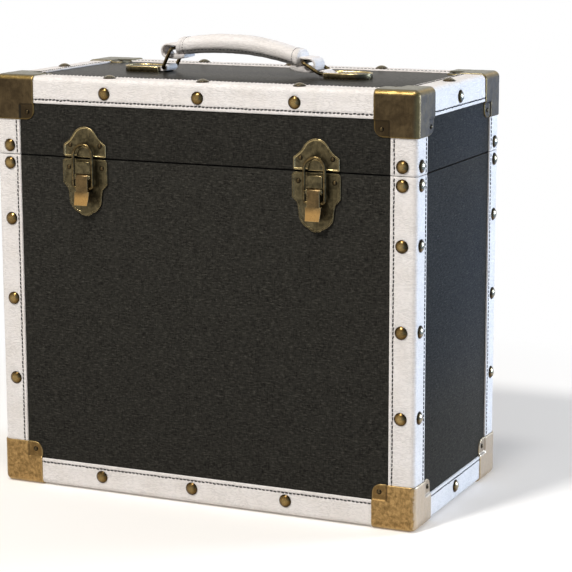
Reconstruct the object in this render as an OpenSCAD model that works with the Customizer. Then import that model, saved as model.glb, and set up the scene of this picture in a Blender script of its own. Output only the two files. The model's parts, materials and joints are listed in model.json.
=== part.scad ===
// Record carrying case: a boarded box covered in textured vinyl, with leather edge trims,
// pressed brass corner protectors, two drawbolt latches, a lid hinged along the back and a
// padded carrying handle. The origin is on the floor under the middle of the case, the front
// faces -Y and the lid is shut.

/* [Case] */
// Width over the leather trims
case_w = 372; // [350:1:440]
// Depth over the leather trims
case_d = 191; // [150:1:260]
// Height over the leather trims, lid shut
case_h = 345; // [330:1:400]
// Height of the lid from the seam to its top
lid_h = 65; // [60:1:100]
// Gap between base and lid at the seam
seam_gap = 0.6; // [0.4:0.1:1]

/* [Panels] */
// Thickness of the boards
board_t = 7; // [4:0.5:10]
// Thickness of the vinyl cover
cover_t = 0.6; // [0.4:0.1:1]
// Thickness of the inner lining
lining_t = 0.8; // [0.5:0.1:1.5]

/* [Leather trims] */
// Width of a trim on each of its two faces
trim_w = 22.3; // [19:0.1:26]
// Thickness of the leather
trim_t = 1.3; // [1:0.1:1.6]
// Radius of the trimmed edges
edge_r = 4.5; // [3.5:0.1:6]

/* [Corner protectors] */
// Side of each face of a protector
corner_w = 36; // [34:0.5:42]
// Thickness of the brass sheet
corner_t = 1; // [0.8:0.1:1.2]
// Radius of the pressed corner on each face
corner_r = 8; // [4:0.5:9]

/* [Nails] */
// Diameter of the domed trim nails
dome_d = 10.5; // [8:0.1:11]
// Height of the domed trim nails
dome_h = 2.3; // [2:0.1:3.2]
// Diameter of the small nails
small_d = 4.2; // [3:0.1:5]
// Height of the small nails
small_h = 1.1; // [0.8:0.1:1.2]
// Distance of the trim nails from the edge on the front and back
nail_inset = 12.3; // [9:0.1:15]
// Distance of the trim nails from the edge on the sides and top
side_nail_inset = 10; // [8:0.1:13]
// Spacing of the three nails along the front and back trims
nail_pitch = 84; // [60:1:100]
// Sideways offset of the three nails on the bottom front trim
bottom_nail_shift = -8.7; // [-15:0.1:15]
// Distance of the nails nearest the seam from it
seam_nail = 7.3; // [6.8:0.1:12]
// Distances of the other post nails below the seam
post_nail_drop = [54, 121.5, 190]; // [30:0.5:230]

/* [Latches] */
// Distance of each latch from the middle of the case
latch_x = 102.6; // [70:0.1:130]
// Thickness of the latch and strike plates
plate_t = 1; // [0.8:0.1:1.4]
// Height of the rolled rim over the plates
rim_h = 0.6; // [0.3:0.1:1]
// Width of the rolled rim
rim_w = 1.2; // [0.8:0.1:2]
// Half the width of the strike plate
strike_half_w = 19.5; // [17:0.1:24]
// Height of the strike plate's top over the seam
strike_top = 25.5; // [23:0.1:30]
// Radius of the strike plate's domed top
strike_dome_r = 12; // [9:0.1:13]
// Distance of the strike plate's nails from its middle
strike_nail_x = 13.7; // [12:0.1:15]
// Height of the strike plate's nails over the seam
strike_nail_up = 10.2; // [6:0.1:11]
// Half the width of the latch plate
latch_half_w = 20.5; // [18:0.1:25]
// Depth of the latch plate's tip below the seam
latch_tip = 47.4; // [44:0.1:54]
// Radius of the latch plate's tip
latch_tip_r = 9; // [7:0.1:10]
// Radius of the latch plate's sides over the tip
latch_flank_r = 12.5; // [11:0.1:13.5]
// Depth below the seam at which the latch plate starts to narrow
latch_shoulder = 19.5; // [16:0.1:22]
// Distance of the latch plate's nails from its middle
latch_nail_x = 15.3; // [13:0.1:16]
// Depth of the latch plate's nails below the seam
latch_nail_down = 8; // [6:0.1:14]
// Gap between each plate and the middle of the seam
plate_gap = 0.9; // [0.6:0.1:1.5]
// Width of the tongue that the bail pulls on
tongue_w = 12.9; // [10:0.1:13.2]
// Height of the tongue's top over the seam
tongue_top = 9.3; // [8:0.1:9.4]
// Distance of the tongue's face from the vinyl
tongue_out = 3.3; // [2.4:0.1:3.4]
// Distance of the latch pivots and the bail from the vinyl
pivot_out = 5.2; // [5.1:0.1:6]
// Depth of the lever's pivot below the seam
pivot_drop = 15.2; // [15:0.1:17]
// Distance from the lever's pivot down to the bail's pivot
throw = 8.8; // [8.6:0.1:9.4]
// Radius of the bail's wire
bail_wire_r = 1.3; // [1:0.05:1.4]
// Radius of the bail's arch at the middle of the wire
bail_arch_r = 8.7; // [8.6:0.1:10]
// Height of the bail's top over the seam at the middle of the wire
bail_top = 11.4; // [11.2:0.1:14]
// Radius of the lever's pin
lever_pin_r = 1.2; // [0.9:0.05:1.5]
// Thickness of the lever's sheet
lever_t = 1; // [0.8:0.1:1.2]
// Half the width of the lever between the ears
lever_half_w = 5.3; // [4.6:0.1:5.3]
// Half the width of the lever's flared finger tab
lever_tab_half_w = 6.7; // [5.3:0.1:6.8]
// Half the width of the finger tab at its end
lever_end_half_w = 5.9; // [5:0.1:6.7]
// Radius of the lever's rounded top about its pivot
lever_top_r = 2.6; // [2.3:0.1:2.7]
// Depth of the lever's end below the seam
lever_end = 37.8; // [36:0.1:42]
// How far the finger tab kicks out
lever_kick = 2.4; // [1:0.1:4]
// Inner half width between the ears
ear_in = 5.6; // [5.6:0.1:5.8]
// Outer half width over the ears
ear_out = 6.8; // [6.6:0.1:6.9]
// Depth below the seam at which the bridge over the lever starts
bridge_top = 3; // [2.4:0.1:4]

/* [Hinges] */
// Distance of each hinge from the middle of the case
hinge_x = 100; // [60:1:125]
// Width of a hinge
hinge_w = 42; // [30:1:60]
// Height of each leaf from the seam
leaf_h = 26; // [20:1:34]
// Distance of each leaf's near edge from the seam
leaf_gap = 1; // [0.8:0.1:1.5]
// Distance of the leaves' nails from the edges
leaf_nail_in = 6; // [4:0.5:8]
// Thickness of a leaf
leaf_t = 1.2; // [1:0.1:1.5]
// Distance of the hinge axis from the vinyl
hinge_out = 4.6; // [4.5:0.1:6]
// Outer radius of the knuckles
knuckle_r = 3; // [2.6:0.1:3.4]
// Radius of the hinge pins
hinge_pin_r = 1.5; // [1:0.1:1.8]

/* [Handle] */
// Sideways offset of the handle from the middle of the lid
handle_x = -2.2; // [-6:0.1:6]
// Distance between the bars of the two rings at the lid
ring_span = 143.5; // [140:0.5:146]
// Radius of the ring wire
ring_wire_r = 1.5; // [1.2:0.1:1.6]
// Width of a ring at the middle of its wire
ring_w = 25; // [24.5:0.1:30]
// Length of a ring from bar to bar
ring_len = 18.5; // [17:0.5:21]
// Lean of the left ring towards the middle
lean_left = 26; // [22:1:32]
// Lean of the right ring towards the middle
lean_right = 60.5; // [56:0.5:64]
// Width of the grip
grip_w = 24; // [20:0.5:28]
// Thickness of the grip
grip_t = 15.6; // [12:0.2:18]
// Rise of the grip's arch
grip_rise = 7.6; // [4:0.1:12]
// Inner radius of the grip's end loops
eye_r = 4.5; // [4.2:0.1:5]
// Thickness of the leather of the end loops
eye_t = 1.8; // [1.4:0.1:2.2]
// Width of the end loops
eye_w = 20; // [16:0.5:20.5]
// Length of an end loop beyond the grip's body
eye_len = 14; // [12:0.5:14.5]
// Width of the leather tabs under the caps
tab_w = 19; // [15:0.5:19]
// Thickness of the leather of the tabs
tab_t = 1.2; // [0.8:0.1:1.3]
// Width of the end caps
cap_w = 28.5; // [27:0.5:34]
// Length of the end caps from the ring's bar to the tip
cap_len = 40; // [36:0.5:46]
// Height of the end caps
cap_h = 4.8; // [4.4:0.1:6]
// Width of the end caps' raised rim
cap_rim = 1.8; // [1.2:0.1:2.4]

/* [Fits] */
// Radial clearance of a pin that is held fast
held_fit = 0.01; // [0.01:0.01:0.02]
// Radial clearance of a pin or bar that turns
running_fit = 0.06; // [0.03:0.01:0.09]
// Side clearance between moving pieces
side_gap = 0.3; // [0.2:0.05:0.4]

/* [Hidden] */

$fn = 48;

VINYL = "#33322f";
LEATHER = "#e9e4dd";
BRASS = "#8c7040";
LINING = "#26231f";
BOARD = "#a88a62";

// Overlap of cutting bodies past what they cut
cut = 1;

// Heights of the case's main planes
case_bottom = corner_t;
case_top = case_bottom + case_h;
case_mid = (case_bottom + case_top) / 2;
seam_z = case_top - lid_h;
base_rim = seam_z - seam_gap / 2;
lid_rim = seam_z + seam_gap / 2;

// Half sizes over the trims
half_w = case_w / 2;
half_d = case_d / 2;

// The vinyl's outer surface
vinyl_x = half_w - trim_t;
vinyl_y = half_d - trim_t;
vinyl_top = case_top - trim_t;

// The boards' outer and inner surfaces
board_inset = trim_t + cover_t;
board_x = half_w - board_inset;
board_y = half_d - board_inset;
board_bottom = case_bottom + board_inset;
board_top = case_top - board_inset;
inner_x = board_x - board_t;
inner_y = board_y - board_t;
inner_bottom = board_bottom + board_t;
inner_top = board_top - board_t;

// The bridge over the lever: how far it stands out and where it ends
bridge_out = pivot_out + 0.8;
bridge_bottom = pivot_drop - lever_top_r - side_gap;

// Width of a hinge knuckle
knuckle_w = hinge_w / 3;

// The rings' lower bars: their height, and half the distance between them
ring_bar_z = vinyl_top + ring_wire_r + running_fit + tab_t + 0.9;
ring_bar_x = ring_span / 2;

// Length of a handle tab under its cap, and of the notch that shows it
tab_len = cap_len - cap_rim - 4;
cap_notch = 11;
// Where the ring's bar leaves a cap's square end
cap_start = 3.6;

// Chamfer of the cover and the boards that leaves the leather one thickness at an edge
function chamfer_at(inset) = max((2 - sqrt(2)) * (edge_r - inset), 0.01);

// Points of an arc from one angle to another
function arc(x, y, r, from, to, steps) =
    [for (i = [0:steps]) let (a = from + (to - from) * i / steps) [x + r * cos(a), y + r * sin(a)]];

// Points mirrored in the vertical axis, in reverse order
function mirrored(points) =
    [for (i = [len(points) - 1:-1:0]) [-points[i][0], points[i][1]]];

module chamfered_rect(w, h, c) {
    x = w / 2;
    y = h / 2;
    polygon([[-x + c, -y], [x - c, -y], [x, -y + c], [x, y - c],
             [x - c, y], [-x + c, y], [-x, y - c], [-x, -y + c]]);
}

// The case's whole block, inset from the trims' outer surface, with chamfered edges
module envelope(inset) {
    w = case_w - 2 * inset;
    d = case_d - 2 * inset;
    h = case_h - 2 * inset;
    c = chamfer_at(inset);
    intersection() {
        translate([0, 0, case_bottom + inset])
            linear_extrude(h) chamfered_rect(w, d, c);
        translate([-w / 2, 0, case_mid]) rotate([90, 0, 90])
            linear_extrude(w) chamfered_rect(d, h, c);
        translate([0, d / 2, case_mid]) rotate([90, 0, 0])
            linear_extrude(d) chamfered_rect(w, h, c);
    }
}

// A box between two corners
module span(low, high) {
    translate(low) cube(high - low);
}

module above(z) {
    span([-case_w, -case_d, z], [case_w, case_d, case_top + case_h]);
}

module below(z) {
    span([-case_w, -case_d, z - case_top - case_h], [case_w, case_d, z]);
}

// Boards: the front and back ones run the full width, and the others fit between them

module board(low, high) {
    color(BOARD) intersection() {
        envelope(board_inset);
        span(low, high);
    }
}

module wide_board(side, low_z, high_z) {
    mirror([0, side > 0 ? 1 : 0, 0])
        board([-board_x, -board_y, low_z], [board_x, -inner_y, high_z]);
}

module side_board(side, low_z, high_z) {
    mirror([side > 0 ? 1 : 0, 0, 0])
        board([-board_x, -inner_y, low_z], [-inner_x, inner_y, high_z]);
}

module base_front_board() wide_board(-1, board_bottom, base_rim);
module base_back_board() wide_board(1, board_bottom, base_rim);
module base_left_board() side_board(-1, board_bottom, base_rim);
module base_right_board() side_board(1, board_bottom, base_rim);
module base_bottom_board()
    board([-inner_x, -inner_y, board_bottom], [inner_x, inner_y, inner_bottom]);
module lid_front_board() wide_board(-1, lid_rim, board_top);
module lid_back_board() wide_board(1, lid_rim, board_top);
module lid_left_board() side_board(-1, lid_rim, board_top);
module lid_right_board() side_board(1, lid_rim, board_top);
module lid_top_board()
    board([-inner_x, -inner_y, inner_top], [inner_x, inner_y, board_top]);

// Vinyl covers and linings

module cover() {
    color(VINYL) difference() {
        envelope(trim_t);
        envelope(board_inset);
        children();
    }
}

module base_cover() cover() above(base_rim);
module lid_cover() cover() below(lid_rim);

module lining(low_z, high_z, open_low, open_high) {
    x = inner_x - lining_t;
    y = inner_y - lining_t;
    color(LINING) difference() {
        span([-inner_x, -inner_y, low_z], [inner_x, inner_y, high_z]);
        span([-x, -y, low_z + (open_low ? -cut : lining_t)],
             [x, y, high_z + (open_high ? cut : -lining_t)]);
    }
}

module base_lining() lining(inner_bottom, base_rim, false, true);
module lid_lining() lining(lid_rim, inner_top, true, false);

// Leather trims: an angle of leather round each edge. Those along the width run from corner to
// corner, and the others fit between them

module trim_profile() {
    c = chamfer_at(trim_t);
    far = trim_w + cut;
    difference() {
        square(trim_w);
        difference() {
            square(edge_r);
            translate([edge_r, edge_r]) circle(edge_r);
        }
        polygon([[trim_t + c, trim_t], [far, trim_t], [far, far], [trim_t, far], [trim_t, trim_t + c]]);
    }
}

// Mirrors its children from the lower front left of the case to another side
module to_side(x, y, z) {
    translate([0, 0, z > 0 ? 2 * case_mid : 0])
        mirror([0, 0, z > 0 ? 1 : 0])
            mirror([0, y > 0 ? 1 : 0, 0])
                mirror([x > 0 ? 1 : 0, 0, 0])
                    children();
}

module wide_trim(y, z) {
    length = case_w - 2 * edge_r;
    color(LEATHER) to_side(-1, y, z)
        translate([-length / 2, -half_d, case_bottom]) rotate([90, 0, 90])
            linear_extrude(length) trim_profile();
}

module side_trim(x, z) {
    length = case_d - 2 * trim_w;
    color(LEATHER) to_side(x, -1, z) union() {
        translate([-half_w, length / 2, case_bottom]) rotate([90, 0, 0])
            linear_extrude(length) trim_profile();
        span([-half_w, -half_d + edge_r, case_bottom + edge_r],
             [-half_w + trim_t, half_d - edge_r, case_bottom + trim_w]);
    }
}

module post(x, y, low_z, high_z) {
    color(LEATHER) to_side(x, y, -1)
        translate([-half_w, -half_d, low_z])
            linear_extrude(high_z - low_z) trim_profile();
}

module base_post(x, y) post(x, y, case_bottom + trim_w, base_rim);

module base_front_trim() wide_trim(-1, -1);
module base_back_trim() wide_trim(1, -1);
module base_left_trim() side_trim(-1, -1);
module base_right_trim() side_trim(1, -1);
module base_post_front_left() base_post(-1, -1);
module base_post_front_right() base_post(1, -1);
module base_post_back_left() base_post(-1, 1);
module base_post_back_right() base_post(1, 1);
module lid_front_trim() wide_trim(-1, 1);
module lid_back_trim() wide_trim(1, 1);
module lid_left_trim() side_trim(-1, 1);
module lid_right_trim() side_trim(1, 1);
module lid_post_trims()
    for (x = [-1, 1], y = [-1, 1]) post(x, y, lid_rim, case_top - trim_w);

// Corner protectors: three square faces over the trims, each pressed down to the vinyl where
// the trims leave a square of it. Local axes point inwards from the trims' outer corner

module corner_profile(r, start) {
    difference() {
        translate([start, start]) square(corner_w - start);
        difference() {
            translate([start, start]) square(r);
            translate([start + r, start + r]) circle(r);
        }
    }
}

module corner_block(r, start) {
    length = corner_w - start;
    intersection() {
        translate([0, 0, start]) linear_extrude(length) corner_profile(r, start);
        rotate([90, 0, 90]) translate([0, 0, start]) linear_extrude(length) corner_profile(r, start);
        rotate([90, 0, 90]) rotate([90, 0, 90])
            translate([0, 0, start]) linear_extrude(length) corner_profile(r, start);
    }
}

// Puts its children on each of the three faces
module on_faces() {
    children();
    rotate([90, 0, 90]) children();
    rotate([90, 0, 90]) rotate([90, 0, 90]) children();
}

module corner_shape() {
    pocket = trim_w + corner_t;
    floor_z = trim_t - corner_t;
    round_at = corner_w - corner_r;
    difference() {
        union() {
            difference() {
                corner_block(edge_r + corner_t, -corner_t);
                corner_block(edge_r, 0);
                // Opens the far side of the block
                span([trim_t, trim_t, trim_t], [corner_w + cut, corner_w + cut, corner_w + cut]);
            }
            on_faces() span([trim_w, trim_w, -corner_t], [corner_w, corner_w, trim_t]);
        }
        on_faces() {
            span([pocket, pocket, -corner_t - cut], [corner_w + cut, corner_w + cut, floor_z]);
            difference() {
                span([round_at, round_at, -corner_t - cut],
                     [corner_w + cut, corner_w + cut, trim_t + cut]);
                translate([round_at, round_at, -corner_t - 2 * cut])
                    cylinder(h = trim_t + corner_t + 4 * cut, r = corner_r);
            }
        }
    }
}

module corner(x, y, z) {
    color(BRASS) to_side(x, y, z) translate([-half_w, -half_d, case_bottom]) corner_shape();
}

module base_corner_front_left() corner(-1, -1, -1);
module base_corner_front_right() corner(1, -1, -1);
module base_corner_back_left() corner(-1, 1, -1);
module base_corner_back_right() corner(1, 1, -1);
module lid_corner_front_left() corner(-1, -1, 1);
module lid_corner_front_right() corner(1, -1, 1);
module lid_corner_back_left() corner(-1, 1, 1);
module lid_corner_back_right() corner(1, 1, 1);

// Nails

module nail(d, h) {
    r = (d * d / 4 + h * h) / (2 * h);
    rotate_extrude() intersection() {
        translate([0, h - r]) circle(r);
        square([d / 2, h]);
    }
}

module dome_nail() nail(dome_d, dome_h);
module small_nail() nail(small_d, small_h);

// Places on the outside of the case, facing outwards: y or x gives the side
module on_front(y, x, z, out) {
    mirror([0, y > 0 ? 1 : 0, 0]) translate([x, -out, z]) rotate([90, 0, 0]) children();
}

module on_end(x, y, z, out) {
    mirror([x > 0 ? 1 : 0, 0, 0]) translate([-out, y, z]) rotate([0, -90, 0]) children();
}

// Nails of one post at one height, on both of its faces
module post_nails(z) {
    for (x = [-1, 1], y = [-1, 1]) {
        on_front(y, x * (half_w - nail_inset), z, half_d) dome_nail();
        on_end(x, y * (half_d - side_nail_inset), z, half_w) dome_nail();
    }
}

module base_dome_nails() {
    z = case_bottom + nail_inset;
    color(BRASS) {
        for (i = [-1:1], y = [-1, 1])
            on_front(y, bottom_nail_shift + i * nail_pitch, z, half_d) dome_nail();
        for (x = [-1, 1]) on_end(x, 0, z, half_w) dome_nail();
        post_nails(seam_z - seam_nail);
        for (drop = post_nail_drop) post_nails(seam_z - drop);
    }
}

module lid_dome_nails() {
    z = case_top - nail_inset;
    color(BRASS) {
        for (i = [-1:1], y = [-1, 1]) {
            on_front(y, i * nail_pitch, z, half_d) dome_nail();
            translate([i * nail_pitch, y * (half_d - side_nail_inset), case_top]) dome_nail();
        }
        for (x = [-1, 1]) {
            on_end(x, 0, z, half_w) dome_nail();
            translate([x * (half_w - side_nail_inset), 0, case_top]) dome_nail();
        }
        post_nails(seam_z + seam_nail);
    }
}

// The nail in the pressed square of each face of a protector
module corner_nails(z) {
    at = (trim_w + corner_t + corner_w) / 2;
    for (x = [-1, 1], y = [-1, 1])
        to_side(x, y, z) translate([-half_w, -half_d, case_bottom])
            on_faces() translate([at, at, trim_t - corner_t]) mirror([0, 0, 1]) small_nail();
}

// Latches: local x runs to the right, y up from the seam and z out from the vinyl
module at_latch(side) {
    translate([side * latch_x, -vinyl_y, seam_z]) rotate([90, 0, 0]) children();
}

// Outline of the strike plate, drawn in by an inset: a hollow curve joins the domed top to
// each shoulder
module strike_outline(inset) {
    shoulder_r = 2;
    foot_r = 1.6;
    leave = 30;
    meet = 60;
    dome_y = strike_top - strike_dome_r;
    shoulder_x = strike_half_w - shoulder_r;
    hollow_r = (shoulder_x + shoulder_r * cos(meet) - strike_dome_r * cos(leave))
        / (cos(leave) - cos(meet));
    hollow_x = (strike_dome_r + hollow_r) * cos(leave);
    hollow_y = dome_y + (strike_dome_r + hollow_r) * sin(leave);
    shoulder_y = hollow_y - (hollow_r + shoulder_r) * sin(meet);
    right = concat(
        arc(strike_half_w - foot_r, plate_gap + foot_r, foot_r - inset, -90, 0, 4),
        arc(shoulder_x, shoulder_y, shoulder_r - inset, 0, meet, 4),
        arc(hollow_x, hollow_y, hollow_r + inset, 180 + meet, 180 + leave, 6),
        arc(0, dome_y, strike_dome_r - inset, leave, 90, 12));
    polygon(concat(right, mirrored(right)));
}

// Outline of the latch plate, drawn in by an inset
module latch_outline(inset) {
    top_r = 3;
    waist = [latch_half_w - 4.5, -latch_shoulder - 5.7];
    flank_x = latch_half_w - latch_flank_r - 5.6;
    flank_y = latch_flank_r + 1.9 - latch_tip;
    right = concat(
        arc(0, latch_tip_r - latch_tip, latch_tip_r - inset, -90, -45, 6),
        arc(flank_x, flank_y, latch_flank_r - inset, -71, 5, 10),
        [[waist[0] - inset, waist[1] - inset / 2]],
        arc(latch_half_w - top_r, -latch_shoulder, top_r - inset, -50, 0, 5),
        arc(latch_half_w - top_r, -plate_gap - top_r, top_r - inset, 0, 90, 6));
    polygon(concat(right, mirrored(right)));
}

module tongue_outline(half) {
    right = concat([[half, plate_gap + 0.1]], arc(0, tongue_top - half, half, 0, 90, 16));
    polygon(concat(right, mirrored(right)));
}

module strike_plate(side) {
    color(BRASS) at_latch(side) union() {
        linear_extrude(plate_t) strike_outline(0);
        linear_extrude(plate_t + rim_h) difference() {
            strike_outline(0);
            strike_outline(rim_w);
        }
        linear_extrude(tongue_out) tongue_outline(tongue_w / 2);
    }
}

// Side outline of an ear, out from the plate and round the pivot
module ear_outline() {
    translate([pivot_out, -pivot_drop]) circle(lever_top_r);
    translate([plate_t / 2, -pivot_drop - lever_top_r])
        square([pivot_out - plate_t / 2, 2 * lever_top_r]);
}

// Turns a side outline, drawn out from the vinyl and up, into a plate across the latch
module across(from, to) {
    translate([from, 0, 0]) rotate([0, -90, 0]) mirror([0, 0, 1]) linear_extrude(to - from) children();
}

module latch_plate(side) {
    color(BRASS) at_latch(side) difference() {
        union() {
            linear_extrude(plate_t) latch_outline(0);
            linear_extrude(plate_t + rim_h) difference() {
                latch_outline(0);
                latch_outline(rim_w);
            }
            for (from = [-ear_out, ear_in]) {
                across(from, from + ear_out - ear_in) ear_outline();
                span([from, -bridge_bottom - 1.2 * lever_top_r, plate_t / 2],
                     [from + ear_out - ear_in, -bridge_top, pivot_out - 1]);
                span([from, -bridge_bottom, plate_t / 2],
                     [from + ear_out - ear_in, -bridge_top, bridge_out]);
            }
            span([-ear_out, -bridge_bottom, bridge_out - lever_t], [ear_out, -bridge_top, bridge_out]);
            span([-ear_out, -bridge_top - lever_t, plate_t / 2], [ear_out, -bridge_top, bridge_out]);
        }
        translate([-latch_half_w, -pivot_drop, pivot_out]) rotate([0, 90, 0])
            cylinder(h = 2 * latch_half_w, r = lever_pin_r + held_fit);
    }
}

module lever_pins() {
    proud = 0.15;
    length = 2 * (ear_out + proud);
    color(BRASS) for (side = [-1, 1])
        at_latch(side) translate([-length / 2, -pivot_drop, pivot_out]) rotate([0, 90, 0])
            cylinder(h = length, r = lever_pin_r);
}

// Side outline of the lever's sheet, from its rolled top down to the tip of the finger tab
module lever_sheet() {
    face = pivot_out + lever_top_r;
    bend = pivot_drop + throw + 3;
    back_r = lever_top_r - lever_t;
    outside = concat(
        arc(pivot_out, -pivot_drop, lever_top_r, 90, 0, 8),
        [[face, -bend], [face + lever_kick * 0.35, -(bend + lever_end) / 2],
         [face + lever_kick, -lever_end]]);
    inside = concat(
        [[face + lever_kick - lever_t, -lever_end],
         [face + lever_kick * 0.35 - lever_t, -(bend + lever_end) / 2], [face - lever_t, -bend]],
        arc(pivot_out, -pivot_drop, back_r, 0, 90, 8));
    polygon(concat(outside, inside));
}

module lever_flange() {
    bail_r = bail_wire_r + 1.1;
    difference() {
        union() {
            translate([pivot_out, -pivot_drop]) circle(lever_top_r - lever_t / 2);
            translate([pivot_out, -pivot_drop - throw]) circle(bail_r);
            translate([pivot_out - bail_r + 0.3, -pivot_drop - throw])
                square([bail_r + lever_top_r - lever_t / 3 - 0.3, throw]);
        }
        translate([pivot_out, -pivot_drop]) circle(lever_pin_r + running_fit);
        translate([pivot_out, -pivot_drop - throw]) circle(bail_wire_r + running_fit);
    }
}

module lever_clip() {
    bend = pivot_drop + throw + 3;
    linear_extrude(2 * pivot_out + lever_end)
        polygon([[-lever_half_w, 0], [-lever_half_w, -bend], [-lever_tab_half_w, -bend],
                 [-lever_end_half_w, -lever_end - cut], [lever_end_half_w, -lever_end - cut],
                 [lever_tab_half_w, -bend], [lever_half_w, -bend], [lever_half_w, 0]]);
}

module latch_lever(side) {
    color(BRASS) at_latch(side) union() {
        intersection() {
            across(-lever_tab_half_w, lever_tab_half_w) lever_sheet();
            lever_clip();
        }
        across(-lever_half_w, -lever_half_w + lever_t) lever_flange();
        across(lever_half_w - lever_t, lever_half_w) lever_flange();
    }
}

// A bend of round wire in the xy plane about the origin, from the x axis
module wire_bend(bend_r, wire_r, angle) {
    rotate_extrude(angle = angle) translate([bend_r, 0]) circle(wire_r);
}

module latch_bail(side) {
    arch_y = bail_top - bail_arch_r;
    foot_y = -pivot_drop - throw;
    bend_r = bail_wire_r + 1.1;
    pin_end = lever_half_w - lever_t + 0.2;
    color(BRASS) at_latch(side) translate([0, 0, pivot_out]) union() {
        translate([0, arch_y, 0]) wire_bend(bail_arch_r, bail_wire_r, 180);
        for (x = [0, 1]) mirror([x, 0, 0]) {
            translate([bail_arch_r, foot_y + bend_r, 0]) rotate([-90, 0, 0])
                cylinder(h = arch_y - foot_y - bend_r, r = bail_wire_r);
            translate([bail_arch_r - bend_r, foot_y + bend_r, 0]) rotate([0, 0, -90])
                wire_bend(bend_r, bail_wire_r, 90);
            translate([pin_end, foot_y, 0]) rotate([0, 90, 0])
                cylinder(h = bail_arch_r - bend_r - pin_end, r = bail_wire_r);
        }
    }
}

module strike_plate_left() strike_plate(-1);
module strike_plate_right() strike_plate(1);
module latch_plate_left() latch_plate(-1);
module latch_plate_right() latch_plate(1);
module latch_lever_left() latch_lever(-1);
module latch_lever_right() latch_lever(1);
module latch_bail_left() latch_bail(-1);
module latch_bail_right() latch_bail(1);

// Hinges on the back: local x runs across, y up from the seam and z out from the vinyl
module at_hinge(side) {
    translate([side * hinge_x, vinyl_y, seam_z]) rotate([90, 0, 180]) children();
}

// Neck from a leaf to its knuckle, in the side view
module knuckle_neck() {
    foot = 2 * knuckle_r;
    polygon([[0, leaf_gap], [0, foot], [leaf_t, foot + 2], [hinge_out, knuckle_r * 0.97],
             [hinge_out - knuckle_r * 0.8, 0.6]]);
}

module hinge_leaf(up, from, to) {
    mirror([0, up ? 0 : 1, 0])
        span([-hinge_w / 2, leaf_gap, 0], [hinge_w / 2, leaf_h, leaf_t]);
    mirror([0, up ? 0 : 1, 0])
        across(from + side_gap / 2, to - side_gap / 2) knuckle_neck();
    translate([from + side_gap / 2, 0, hinge_out]) rotate([0, 90, 0])
        cylinder(h = to - from - side_gap, r = knuckle_r);
}

module hinge_bore(fit) {
    translate([-hinge_w, 0, hinge_out]) rotate([0, 90, 0])
        cylinder(h = 2 * hinge_w, r = hinge_pin_r + fit);
}

module hinge_base_leaf(side) {
    color(BRASS) at_hinge(side) difference() {
        union() {
            hinge_leaf(false, -hinge_w / 2, -knuckle_w / 2);
            hinge_leaf(false, knuckle_w / 2, hinge_w / 2);
        }
        hinge_bore(held_fit);
    }
}

module hinge_lid_leaf(side) {
    color(BRASS) at_hinge(side) difference() {
        hinge_leaf(true, -knuckle_w / 2, knuckle_w / 2);
        hinge_bore(running_fit);
    }
}

module hinge_pins() {
    color(BRASS) for (side = [-1, 1])
        at_hinge(side) translate([-hinge_w / 2, 0, hinge_out]) rotate([0, 90, 0])
            cylinder(h = hinge_w, r = hinge_pin_r);
}

module hinge_base_leaf_left() hinge_base_leaf(-1);
module hinge_base_leaf_right() hinge_base_leaf(1);
module hinge_lid_leaf_left() hinge_lid_leaf(-1);
module hinge_lid_leaf_right() hinge_lid_leaf(1);

// Nails of one leaf, in two rows
module leaf_nails(up) {
    for (side = [-1, 1], x = [-1, 0, 1])
        at_hinge(side) mirror([0, up ? 0 : 1, 0])
            translate([x * (hinge_w / 2 - leaf_nail_in), leaf_h - leaf_nail_in - (x == 0 ? 5 : 0), leaf_t])
                small_nail();
}

module base_small_nails() {
    color(BRASS) {
        corner_nails(-1);
        for (side = [-1, 1], x = [-1, 1])
            at_latch(side) translate([x * latch_nail_x, -latch_nail_down, plate_t]) small_nail();
        leaf_nails(false);
    }
}

module lid_small_nails() {
    color(BRASS) {
        corner_nails(1);
        for (side = [-1, 1], x = [-1, 1])
            at_latch(side) translate([x * strike_nail_x, strike_nail_up, plate_t]) small_nail();
        leaf_nails(true);
    }
}

// Handle: local x runs from the middle outwards on each side, z up from the lid's vinyl
module at_handle_end(side) {
    translate([handle_x, 0, 0]) mirror([side < 0 ? 1 : 0, 0, 0])
        translate([ring_bar_x, 0, 0]) children();
}

// A ring of round wire round the yz plane, its lower bar on the origin's y axis
module wire_ring() {
    bend_r = 3;
    half = ring_w / 2;
    for (y = [0, 1]) mirror([0, y, 0]) {
        translate([0, half, bend_r]) cylinder(h = ring_len - 2 * bend_r, r = ring_wire_r);
        translate([0, half - bend_r, bend_r]) rotate([90, 180, 90])
            mirror([1, 0, 0]) wire_bend(bend_r, ring_wire_r, 90);
        translate([0, half - bend_r, ring_len - bend_r]) rotate([90, 0, 90])
            wire_bend(bend_r, ring_wire_r, 90);
        for (z = [0, ring_len])
            translate([0, -0.01, z]) rotate([-90, 0, 0])
                cylinder(h = half - bend_r + 0.01, r = ring_wire_r);
    }
}

module handle_ring(side, lean) {
    color(BRASS) at_handle_end(side)
        translate([0, 0, ring_bar_z]) rotate([0, -lean, 0]) wire_ring();
}

module handle_ring_left() handle_ring(-1, lean_left);
module handle_ring_right() handle_ring(1, lean_right);

// A strap folded round the ring's bar, its two ends lying under the cap
module handle_tab(side) {
    bore_r = ring_wire_r + running_fit;
    height = ring_bar_z - vinyl_top;
    color(LEATHER) at_handle_end(side) translate([0, tab_w / 2, vinyl_top]) rotate([90, 0, 0])
        linear_extrude(tab_w) difference() {
            union() {
                translate([0, height]) circle(bore_r + tab_t);
                polygon([[0, height + bore_r + tab_t], [0, height - bore_r - tab_t],
                         [7, 0], [tab_len, 0], [tab_len, 2 * tab_t], [8, 2 * tab_t]]);
            }
            translate([0, height]) circle(bore_r);
        }
}

module handle_tab_left() handle_tab(-1);
module handle_tab_right() handle_tab(1);

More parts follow.
